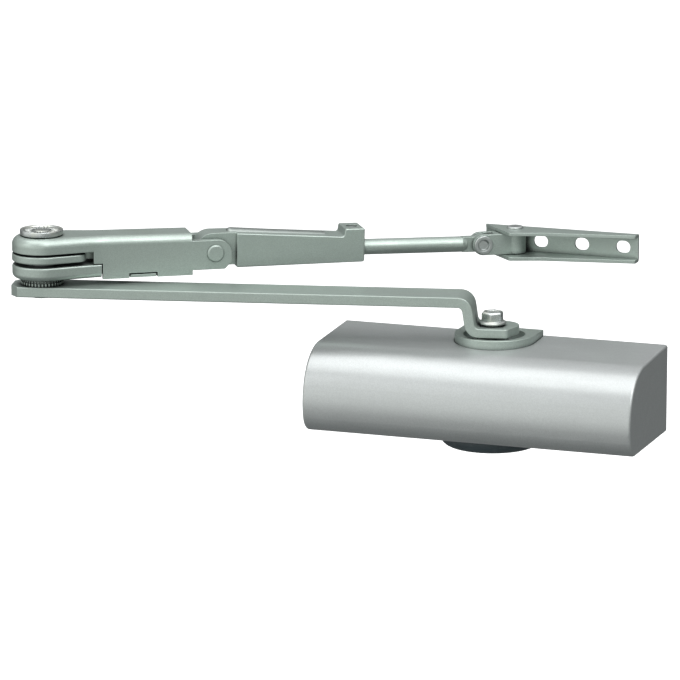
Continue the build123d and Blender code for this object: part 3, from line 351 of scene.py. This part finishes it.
def grey_enamel(finishes, sizes):
    """Grey-green metallic enamel on stamped steel, lighter along the edges, partly from thin paint and partly as a
    painted edge highlight, with painted shade in its gaps and corners.
    """
    f = Finish("grey_enamel", Coat_Roughness=0.25)
    flake = f.cells(sizes.flake * 0.8, "Color")
    cloud = f.noise(0.018, 4)
    edge_wear_and_highlight, soft = f.edge(sizes.paint_edge)
    tint = f.mix(f.band(flake, 0.15, 0.95), shade(finishes.arm, 0.90), shade(finishes.arm, 1.10))
    tint = f.mix(f.band(cloud, 0.4, 0.72) * 0.3, tint, shade(finishes.arm, 0.84))
    # edges painted lighter: partly thin paint, partly a painted edge highlight
    tint = f.mix(edge_wear_and_highlight * 0.6, tint, shade(finishes.arm, 1.6))
    # painted shade: the enamel is darkened almost to black deep in gaps and corners
    gap_shade = f.hollow(0.0045)
    tint = f.mix(gap_shade * 0.95, tint, GAP_SHADE)
    chips = f.band(f.noise(0.0016, 3), 0.66, 0.70) * edge_wear_and_highlight
    tint = f.mix(chips * 0.7, tint, finishes.bright_steel)
    roughness = 0.34 + f.band(cloud, 0.3, 0.7) * 0.08 + flake * 0.05 - edge_wear_and_highlight * 0.06 + gap_shade * 0.2
    ripple = f.noise(sizes.peel * 0.8, 3)
    pits = f.band(f.noise(0.0007, 2), 0.60, 0.72)
    normal = f.bump(ripple - pits * 0.35, 0.000018, soft)
    return f.set(
        Base_Color=tint, Roughness=roughness, Metallic=0.66 + flake * 0.12,
        Coat_Weight=0.16 + cloud * 0.08, Normal=normal,
    )


def moulded_plastic(finishes, sizes):
    """Dark nylon with a fine spark-eroded grain."""
    f = Finish("moulded_plastic", Specular_IOR_Level=0.5)
    grain = f.cells(sizes.grain, "Distance")
    cloud = f.noise(0.02, 3)
    edge_wear_and_highlight, soft = f.edge(0.0006)
    tint = f.mix(f.band(cloud, 0.3, 0.7), shade(finishes.cap, 0.88), shade(finishes.cap, 1.14))
    dust = f.band(f.noise(0.004, 5), 0.52, 0.75)
    tint = f.mix(dust * 0.10, tint, DUST)
    # edges painted lighter: partly wear, partly a painted edge highlight
    tint = f.mix(edge_wear_and_highlight * 0.35, tint, shade(finishes.cap, 1.9))
    roughness = 0.42 + grain * 0.12 + dust * 0.08
    return f.set(Base_Color=tint, Roughness=roughness, Normal=f.bump(grain, 0.00002, soft))


def cast_aluminium(finishes, sizes):
    """Bare pressure casting: sandy skin, flow marks and darker hollows."""
    f = Finish("cast_aluminium")
    skin = f.noise(0.0011, 6, 0.65)
    flow = f.noise(0.03, 4, 0.6, f.spread((0.5, 2, 2)))
    edge_wear_and_highlight, soft = f.edge(0.0008)
    tint = f.mix(f.band(flow, 0.3, 0.75), shade(finishes.casting, 0.82), shade(finishes.casting, 1.05))
    tint = f.mix(f.band(skin, 0.55, 0.75) * 0.35, tint, shade(finishes.casting, 0.6))
    # edges painted lighter: partly wear, partly a painted edge highlight
    tint = f.mix(edge_wear_and_highlight * 0.5, tint, shade(finishes.casting, 1.35))
    roughness = 0.48 + skin * 0.2 - edge_wear_and_highlight * 0.12
    return f.set(
        Base_Color=tint, Roughness=roughness, Metallic=0.85 - f.band(skin, 0.6, 0.8) * 0.2,
        Normal=f.bump(skin + flow * 0.4, 0.00009, soft),
    )


def bright_zinc(finishes, sizes):
    """Zinc plating with a faint blue and yellow bloom, painted shade in its hollows, and edges painted lighter,
    partly wear and partly a painted highlight.
    """
    f = Finish("bright_zinc")
    bloom = f.noise(0.006, 3)
    crystals = f.cells(0.0005, "Color")
    edge_wear_and_highlight, soft = f.edge(0.0003)
    tint = f.mix(f.band(bloom, 0.35, 0.65), shade(finishes.zinc, 0.94), YELLOW_BLOOM)
    tint = f.mix(crystals * 0.2, tint, BLUE_BLOOM)
    # painted shade: the zinc is darkened in its hollows, such as the knob's dish
    tint = f.mix(f.hollow(0.003) * 0.85, tint, ZINC_GAP_SHADE)
    # edges painted lighter: partly wear, partly a painted edge highlight
    tint = f.mix(edge_wear_and_highlight * 0.4, tint, ZINC_WORN_LIT_EDGE)
    roughness = 0.25 + crystals * 0.05 + f.band(bloom, 0.4, 0.7) * 0.08
    scratches = f.noise(0.0012, 4, 0.7, f.spread((1, 1, 14)))
    return f.set(
        Base_Color=tint, Roughness=roughness, Metallic=0.97 - bloom * 0.05,
        Normal=f.bump(scratches, 0.00001, soft),
    )


def worked_steel(tint_of, base_rough, stretch, turn=0.0):
    """Steel with tool lines along one direction, oil stains, painted shade in its hollows, and edges painted
    lighter, partly wear and partly a painted highlight.
    """
    f = Finish("worked_steel", Anisotropic=0.35)
    lines = f.noise(0.0008, 5, 0.7, f.spread(stretch, turn))
    oil = f.band(f.noise(0.012, 4), 0.48, 0.70)
    edge_wear_and_highlight, soft = f.edge(0.0003)
    tint = f.mix(lines, shade(tint_of, 0.86), shade(tint_of, 1.12))
    tint = f.mix(oil * 0.35, tint, shade(tint_of, 0.55))
    # painted shade: the steel is a little darker in its hollows
    tint = f.mix(f.hollow(0.0015) * 0.3, tint, STEEL_GAP_SHADE)
    # edges painted lighter: partly wear, partly a painted edge highlight
    tint = f.mix(edge_wear_and_highlight * 0.5, tint, shade(tint_of, 1.45))
    roughness = base_rough + lines * 0.12 - oil * 0.06
    return f.set(
        Base_Color=tint, Roughness=roughness, Metallic=0.96 - oil * 0.08,
        Normal=f.bump(lines, 0.000015, soft),
    )


def nitrile_rubber(finishes, sizes):
    """Black rubber with a matt skin and traces of talc."""
    f = Finish("nitrile_rubber", Specular_IOR_Level=0.4)
    talc = f.band(f.noise(0.0035, 5), 0.52, 0.78)
    skin = f.noise(0.0004, 3)
    tint = f.mix(talc * 0.18, finishes.rubber, TALC)
    return f.set(
        Base_Color=tint, Roughness=0.62 + skin * 0.15 + talc * 0.1, Normal=f.bump(skin, 0.00001)
    )


def turned_brass(finishes, sizes):
    """Brass with lathe lines round the X axis and a slight tarnish."""
    f = Finish("turned_brass")
    lines = f.noise(0.0005, 4, 0.6, f.spread((1, 0.08, 0.08)))
    tarnish = f.band(f.noise(0.004, 4), 0.45, 0.75)
    tint = f.mix(lines, shade(finishes.brass, 0.9), shade(finishes.brass, 1.1))
    tint = f.mix(tarnish * 0.45, tint, TARNISH)
    return f.set(
        Base_Color=tint, Roughness=0.24 + lines * 0.12 + tarnish * 0.15, Metallic=0.97 - tarnish * 0.12,
        Normal=f.bump(lines, 0.00002),
    )


def ground_steel(finishes, sizes):
    """Steel ground round the upright axis, for shafts, pins and washers."""
    return worked_steel(finishes.steel, 0.24, (1, 1, 9))


def drawn_steel(finishes, sizes):
    """Steel drawn lengthways, for the locking bar, which lies along the forearm."""
    return worked_steel(finishes.bright_steel, 0.34, (0.12, 1, 1), radians(FOREARM_ANGLE))


def headed_steel(finishes, sizes):
    """Lighter steel, for the headed rivets of knuckle and shoe."""
    return worked_steel(finishes.rivet_steel, 0.30, (1, 1, 3))


MAKERS = {
    "cover_paint": silver_lacquer, "arm_paint": grey_enamel, "dark_plastic": moulded_plastic,
    "casting": cast_aluminium, "zinc": bright_zinc, "seal_rubber": nitrile_rubber,
    "valve_brass": turned_brass, "steel": ground_steel, "bar_steel": drawn_steel,
    "rivet_steel": headed_steel,
}


def finish_for(slot):
    """The material of a slot or of the rivets, made once."""
    scene = bpy.context.scene
    made = bpy.data.materials.get("slot_" + slot)
    if made is None:
        made = MAKERS[slot](scene.closer_finishes, scene.closer_sizes)
        made.name = "slot_" + slot
    return made


# ---------------------------------------------------------------- modelling helpers
def deselect():
    """Deselects every object, in object mode."""
    if bpy.context.mode != "OBJECT":
        bpy.ops.object.mode_set(mode="OBJECT")
    bpy.ops.object.select_all(action="DESELECT")


def take(piece):
    """Selects one piece alone and makes it the active one."""
    deselect()
    piece.select_set(True)
    bpy.context.view_layer.objects.active = piece


def start(name):
    """The new object, named."""
    piece = bpy.context.object
    piece.name = name
    piece.data.name = name
    return piece


def pick_faces(piece, wanted):
    """Selects the faces for which wanted(face) is true, in edit mode."""
    mesh = bmesh.from_edit_mesh(piece.data)
    for face in mesh.faces:
        face.select_set(False)
    for part in mesh.edges[:] + mesh.verts[:]:
        part.select_set(False)
    chosen = [face for face in mesh.faces if wanted(face)]
    if not chosen:
        raise RuntimeError(f"{piece.name}: there is no face to shape")
    for face in chosen:
        face.select_set(True)
    bmesh.update_edit_mesh(piece.data)


def edit(piece):
    """Enters edit mode on one piece, in face mode with nothing selected."""
    take(piece)
    bpy.ops.object.mode_set(mode="EDIT")
    bpy.ops.mesh.select_mode(type="FACE")
    bpy.ops.mesh.select_all(action="DESELECT")


def soften(piece, width, segments, angle):
    """Bevels the piece's edges that are sharper than angle, in degrees, and smooths it."""
    take(piece)
    bevel = piece.modifiers.new("Soft edge", "BEVEL")
    bevel.width = width
    bevel.segments = segments
    bevel.limit_method = "ANGLE"
    bevel.angle_limit = radians(angle)
    bpy.ops.object.modifier_apply(modifier=bevel.name)
    bpy.ops.object.shade_smooth_by_angle(angle=SMOOTH_ANGLE)


def settle(piece, body, slot, node):
    """Puts the piece's place into its mesh, and gives it its finish, its body and the node it stands for."""
    take(piece)
    bpy.ops.object.transform_apply(location=True, rotation=True, scale=True)
    bpy.ops.object.mode_set(mode="EDIT")
    bpy.ops.mesh.select_all(action="SELECT")
    bpy.ops.mesh.normals_make_consistent(inside=False)
    bpy.ops.object.mode_set(mode="OBJECT")
    piece.data.materials.clear()
    piece.data.materials.append(finish_for(slot))
    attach(piece, body)
    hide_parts(node)


# ---------------------------------------------------------------- operators: finishes
class PaintNodes:
    """Shared work of the operators that finish carried-over nodes"""

    slots = ()

    def execute(self, context):
        done = 0
        for name, node in NODES.items():
            if SLOT_OF[name] in self.slots:
                node.data.materials.clear()
                node.data.materials.append(finish_for("rivet_steel" if name in RIVETS else SLOT_OF[name]))
                done += 1
        if not done:
            raise RuntimeError(f"{self.bl_label}: no node has the slots {self.slots}")
        return {"FINISHED"}


class CLOSER_OT_lacquer_cover(PaintNodes, bpy.types.Operator):
    """Gives the body cover its silver lacquer"""

    bl_idname = "closer.lacquer_cover"
    bl_label = "Lacquer the cover"
    slots = ("cover_paint",)


class CLOSER_OT_enamel_arm(PaintNodes, bpy.types.Operator):
    """Gives the arm, elbow, rod and shoe their grey enamel"""

    bl_idname = "closer.enamel_arm"
    bl_label = "Enamel the arm"
    slots = ("arm_paint",)


class CLOSER_OT_finish_trim(PaintNodes, bpy.types.Operator):
    """Gives the plastic cap and the rubber seals their skins"""

    bl_idname = "closer.finish_trim"
    bl_label = "Finish cap and seals"
    slots = ("dark_plastic", "seal_rubber")


class CLOSER_OT_finish_metal(PaintNodes, bpy.types.Operator):
    """Gives castings, steel, zinc and brass their bare finishes"""

    bl_idname = "closer.finish_metal"
    bl_label = "Finish bare metal"
    slots = ("casting", "zinc", "steel", "bar_steel", "valve_brass")


# ---------------------------------------------------------------- operators: fittings
def ring_of(name, vertices, radius, low, high, centre, turn=0.0):
    """A cylinder primitive between two heights, named and left active."""
    deselect()
    bpy.ops.mesh.primitive_cylinder_add(
        vertices=vertices, radius=radius, depth=high - low, end_fill_type="NGON",
        location=(centre.x, centre.y, (low + high) / 2), rotation=(0, 0, turn),
    )
    return start(name)


def top_face(piece):
    """Selects the faces that look up at the top, in edit mode."""
    top = max(corner.co.z for corner in bmesh.from_edit_mesh(piece.data).verts)
    pick_faces(piece, lambda face: face.normal.z > 0.9 and face.calc_center_median().z > top - 1e-6)


def lift(height):
    """Moves the selected faces up, or down where height is below 0."""
    bpy.ops.transform.translate(value=(0, 0, height))


def raise_step(height):
    """Extrudes the selected faces, and moves them up by height."""
    bpy.ops.mesh.extrude_region_move(TRANSFORM_OT_translate={"value": (0, 0, height)})


def scale_flat(factor, tall=1):
    """Scales the selected faces about their middle, by factor sideways and by tall upwards."""
    bpy.ops.transform.resize(value=(factor, factor, tall))


def combine(first, *others):
    """Joins pieces into the first."""
    deselect()
    for piece in (first, *others):
        piece.select_set(True)
    bpy.context.view_layer.objects.active = first
    bpy.ops.object.join()
    return first


def round_copies(piece, number, centre):
    """Copies of a piece that complete a ring round an upright axis, number in all."""
    copies = []
    to_axis = Matrix.Translation(centre)
    for index in range(1, number):
        copy = piece.copy()
        copy.data = piece.data.copy()
        bpy.context.scene.collection.objects.link(copy)
        spin = to_axis @ Matrix.Rotation(index * 2 * pi / number, 4, "Z") @ Matrix.Translation(-centre)
        copy.matrix_world = spin @ piece.matrix_world
        copies.append(copy)
    return copies


class CLOSER_OT_turn_bolt(bpy.types.Operator):
    """Models the flange bolt: chamfered hexagon, coned flange and dimpled crown"""

    bl_idname = "closer.turn_bolt"
    bl_label = "Arm bolt"

    def execute(self, context):
        sizes = context.scene.closer_sizes
        low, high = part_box("arm_bolt")
        seat = high.z - sizes.head
        half = sizes.flats / 2
        chamfer, crown, dimple = 0.0008, 0.0010, 0.0005
        flange_edge, cone, lip = 0.0008, 0.0007, 0.0006
        corner, foot = half / cos(pi / 6), seat + flange_edge / 2
        head = ring_of("arm_bolt_head", 6, corner, foot, high.z - chamfer, SPINDLE, radians(8))
        edit(head)
        top_face(head)
        raise_step(chamfer)
        scale_flat(0.86)
        bpy.ops.mesh.inset(thickness=crown)
        bpy.ops.mesh.inset(thickness=dimple)
        lift(-dimple)
        bpy.ops.object.mode_set(mode="OBJECT")
        soften(head, HAIR, 2, 20)
        flange = ring_of("arm_bolt_flange", 96, sizes.flange, seat, seat + flange_edge, SPINDLE)
        edit(flange)
        top_face(flange)
        raise_step(cone)
        scale_flat((half + lip) / sizes.flange)
        bpy.ops.object.mode_set(mode="OBJECT")
        soften(flange, HAIR, 3, 15)
        shank = ring_of("arm_bolt_shank", 32, sizes.shank, low.z, seat + HAIR, SPINDLE)
        soften(shank, 0.0003, 1, 30)
        settle(combine(head, flange, shank), "arm", "zinc", "arm_bolt")
        return {"FINISHED"}


class CLOSER_OT_stamp_lock_washer(bpy.types.Operator):
    """Models the lock washer with its teeth as blocks standing out round the rim, without the twist of the real
    teeth
    """

    bl_idname = "closer.stamp_lock_washer"
    bl_label = "Lock washer"

    def execute(self, context):
        bite = context.scene.closer_sizes.bite
        low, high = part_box("arm_lock_washer")
        radius = (high.x - low.x) / 2
        sides, thinning = 80, 0.00015
        washer = ring_of("lock_washer", sides, radius - bite, low.z + thinning, high.z - thinning, SPINDLE)
        edit(washer)
        pick_faces(washer, lambda face: abs(face.normal.z) < 0.5 and self.side(face, sides) % 4 < 2)
        raise_step(0)
        scale_flat(radius / (radius - bite), tall=1.3)
        bpy.ops.object.mode_set(mode="OBJECT")
        soften(washer, 0.00008, 1, 30)
        settle(washer, "arm", "zinc", "arm_lock_washer")
        return {"FINISHED"}

    def side(self, face, sides):
        """Which of a ring's sides a face is, counted round its axis."""
        middle = face.calc_center_median()
        return round(atan2(middle.y, middle.x) / (2 * pi / sides) - 0.5)


class CLOSER_OT_cut_friction_washer(bpy.types.Operator):
    """Models the friction washer with the teeth that key into the elbow"""

    bl_idname = "closer.cut_friction_washer"
    bl_label = "Friction washer"

    def execute(self, context):
        teeth = context.scene.closer_sizes.teeth
        low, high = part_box("serrated_washer")
        radius = (high.x - low.x) / 2
        bead = pi * radius / teeth * 0.56
        lap, tooth_top, rib_top = 0.0001, low.z + 0.0019, low.z + 0.0030
        washer = ring_of("friction_washer", teeth * 2, radius - bead * 2.1, low.z, high.z, ELBOW)
        soften(washer, 0.0001, 1, 40)
        rim = ELBOW + Vector((radius - bead * 1.01, 0, 0))
        inside = rim - Vector((bead * 0.6, 0, 0))
        tooth = ring_of("washer_tooth", 12, bead, low.z + lap, tooth_top, rim)
        soften(tooth, bead * 0.7, 3, 40)
        rib = ring_of("washer_rib", 10, bead * 0.6, tooth_top - lap, rib_top, inside)
        soften(rib, bead * 0.3, 1, 40)
        tooth = combine(tooth, rib)
        washer = combine(washer, tooth, *round_copies(tooth, teeth, ELBOW))
        settle(washer, "arm", "arm_paint", "serrated_washer")
        return {"FINISHED"}


class CLOSER_OT_press_knob(bpy.types.Operator):
    """Models the hold-open knob: raised rim, dish and pressed ribs"""

    bl_idname = "closer.press_knob"
    bl_label = "Hold-open knob"

    def execute(self, context):
        sizes = context.scene.closer_sizes
        low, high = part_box("hold_open_knob")
        radius = (high.x - low.x) / 2
        plate, rib_inset, rib_drop, rib_size = 0.0027, 0.0042, 0.0007, (0.0036, 0.0011, 0.0006)
        dish_wall, dish_floor, button_wall, button = 0.0006, 0.0048, 0.0004, 0.0006
        under = high.z - plate
        knob = ring_of("knob_dish", 96, radius, under, high.z, ELBOW)
        edit(knob)
        top_face(knob)
        bpy.ops.mesh.inset(thickness=sizes.rim)
        bpy.ops.mesh.inset(thickness=dish_wall)
        lift(-sizes.dish)
        bpy.ops.mesh.inset(thickness=dish_floor)
        bpy.ops.mesh.inset(thickness=button_wall)
        lift(button)
        bpy.ops.object.mode_set(mode="OBJECT")
        soften(knob, 0.00035, 3, 25)
        hub = ring_of("knob_hub", 64, sizes.hub, low.z, under + HAIR, ELBOW)
        soften(hub, HAIR, 2, 30)
        deselect()
        middle = (ELBOW.x + radius - rib_inset, ELBOW.y, high.z - rib_drop)
        bpy.ops.mesh.primitive_cube_add(size=1, location=middle, scale=rib_size)
        rib = start("knob_rib")
        bpy.ops.object.transform_apply(location=True, rotation=True, scale=True)
        soften(rib, HAIR, 1, 30)
        knob = combine(knob, hub, rib, *round_copies(rib, sizes.ribs, ELBOW))
        settle(knob, "knob", "zinc", "hold_open_knob")
        return {"FINISHED"}


class CLOSER_OT_wind_spring(bpy.types.Operator):
    """Makes the return spring from the imported coils, merged and smoothed; the mesh keeps one length, though the
    real spring shortens as the piston comes towards its fixed end
    """

    bl_idname = "closer.wind_spring"
    bl_label = "Return spring"

    def execute(self, context):
        low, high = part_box("return_spring")
        free_length = high.x - low.x
        travel = max(JOINTS["piston_slide"]["range_m"])
        if travel >= free_length:
            raise RuntimeError("Return spring: the piston's travel is longer than the spring")
        take(NODES["return_spring"])
        bpy.ops.object.duplicate()
        spring = start("spring_coils")
        edit(spring)
        bpy.ops.mesh.select_all(action="SELECT")
        bpy.ops.mesh.remove_doubles(threshold=MERGE)
        bpy.ops.object.mode_set(mode="OBJECT")
        bpy.ops.object.shade_smooth_by_angle(angle=SMOOTH_ANGLE)
        settle(spring, "closer_body", "steel", "return_spring")
        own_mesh(spring)
        return {"FINISHED"}


# ---------------------------------------------------------------- operators: stage
class CLOSER_OT_set_stage(bpy.types.Operator):
    """Adds the pale floor, the soft lights and the camera"""

    bl_idname = "closer.set_stage"
    bl_label = "Set the stage"

    def execute(self, context):
        stage = context.scene.closer_stage
        self.add_floor(stage)
        for name, (place, target, size) in LIGHTS.items():
            self.add_light(name, place, target, size, getattr(stage, name))
        context.scene.world = self.make_room(stage)
        context.scene.camera = self.add_camera(stage)
        context.scene.view_settings.view_transform = "Standard"
        return {"FINISHED"}

    def add_floor(self, stage):
        """A pale paper floor that glows, and neither lights the part nor shows in its reflections."""
        place = (0, FLOOR_CENTRE_Y, CAD_BOX[0].z - stage.floor_drop)
        deselect()
        bpy.ops.mesh.primitive_grid_add(x_subdivisions=8, y_subdivisions=8, size=FLOOR_SIZE, location=place)
        floor = start("floor")
        f = Finish("floor_paper", Specular_IOR_Level=0.1, Emission_Strength=stage.floor_glow)
        fibre = f.noise(0.01, 3)
        paper = f.mix(fibre, shade(stage.floor, 0.99), stage.floor)
        f.set(Base_Color=paper, Emission_Color=paper, Roughness=0.75 + fibre * 0.1)
        floor.data.materials.append(f.material)
        floor.visible_glossy = False
        floor.visible_diffuse = False

    def make_room(self, stage):
        """Light from all round: brighter in front and above, darker behind and below."""
        world = bpy.data.worlds.new("room")
        world.use_nodes = True
        room = Nodes(world.node_tree)
        toward = room.add("ShaderNodeTexCoord").outputs["Generated"]
        split = room.add("ShaderNodeSeparateXYZ", None, {"Vector": toward})
        x, y, z = (Link(room.tree, socket) for socket in split.outputs)
        back = room.mix(room.band(x, -0.5, 0.5), stage.back_left, stage.back_right)
        front = room.mix(room.band(x, 0.15, 0.75), stage.front, stage.front_right)
        level = room.mix(room.band(y, -0.40, 0.35), front, back)
        walls = room.mix(room.band(z, -0.55, -0.05), stage.below, level)
        light = room.mix(room.band(z, 0.15, 0.7), walls, stage.ceiling)
        room.tree.links.new(light.socket, room.tree.nodes["Background"].inputs[0])
        return world

    def add_camera(self, stage):
        """A long lens, a little above the part and to the right of its front."""
        lens = bpy.data.cameras.new("camera")
        lens.lens = stage.lens
        lens.sensor_width = SENSOR_WIDTH
        lens.clip_end = 100
        camera = bpy.data.objects.new("camera", lens)
        bpy.context.scene.collection.objects.link(camera)
        camera.location = CAMERA_PLACE
        camera.rotation_euler = CAMERA_TURN
        return camera

    def add_light(self, name, place, target, size, watts):
        """A rectangular light at a place, turned to its target."""
        light = bpy.data.lights.new(name, "AREA")
        light.shape = "RECTANGLE"
        light.size, light.size_y = size
        light.energy = watts
        lamp = bpy.data.objects.new(name, light)
        bpy.context.scene.collection.objects.link(lamp)
        lamp.location = place
        lamp.rotation_euler = (Vector(target) - Vector(place)).to_track_quat("-Z", "Y").to_euler()


# ---------------------------------------------------------------- panel and registration
STEPS = (
    "lacquer_cover", "enamel_arm", "finish_trim", "finish_metal", "turn_bolt", "stamp_lock_washer",
    "cut_friction_washer", "press_knob", "wind_spring", "set_stage",
)


class CLOSER_PT_panel(bpy.types.Panel):
    """Lists the sizes, the colours and the steps"""

    bl_idname = "CLOSER_PT_panel"
    bl_label = "Door Closer"
    bl_space_type = "VIEW_3D"
    bl_region_type = "UI"
    bl_category = "Door Closer"

    def draw(self, context):
        scene = context.scene
        groups = {"Colours": scene.closer_finishes, "Sizes": scene.closer_sizes, "Stage": scene.closer_stage}
        for title, group in groups.items():
            box = self.layout.box()
            box.label(text=title)
            for name in group.__annotations__:
                box.prop(group, name)
        for step in STEPS:
            self.layout.operator("closer." + step)


CLASSES = (
    CloserFinishes, CloserSizes, CloserStage,
    CLOSER_OT_lacquer_cover, CLOSER_OT_enamel_arm, CLOSER_OT_finish_trim, CLOSER_OT_finish_metal,
    CLOSER_OT_turn_bolt, CLOSER_OT_stamp_lock_washer, CLOSER_OT_cut_friction_washer, CLOSER_OT_press_knob,
    CLOSER_OT_wind_spring, CLOSER_OT_set_stage, CLOSER_PT_panel,
)


def register():
    for item in CLASSES:
        bpy.utils.register_class(item)
    bpy.types.Scene.closer_finishes = PointerProperty(type=CloserFinishes)
    bpy.types.Scene.closer_sizes = PointerProperty(type=CloserSizes)
    bpy.types.Scene.closer_stage = PointerProperty(type=CloserStage)


def unregister():
    del bpy.types.Scene.closer_stage
    del bpy.types.Scene.closer_sizes
    del bpy.types.Scene.closer_finishes
    for item in reversed(CLASSES):
        bpy.utils.unregister_class(item)


def main():
    """Registers the add-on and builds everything."""
    register()
    for step in STEPS:
        getattr(bpy.ops.closer, step)()


if __name__ == "__main__":
    main()
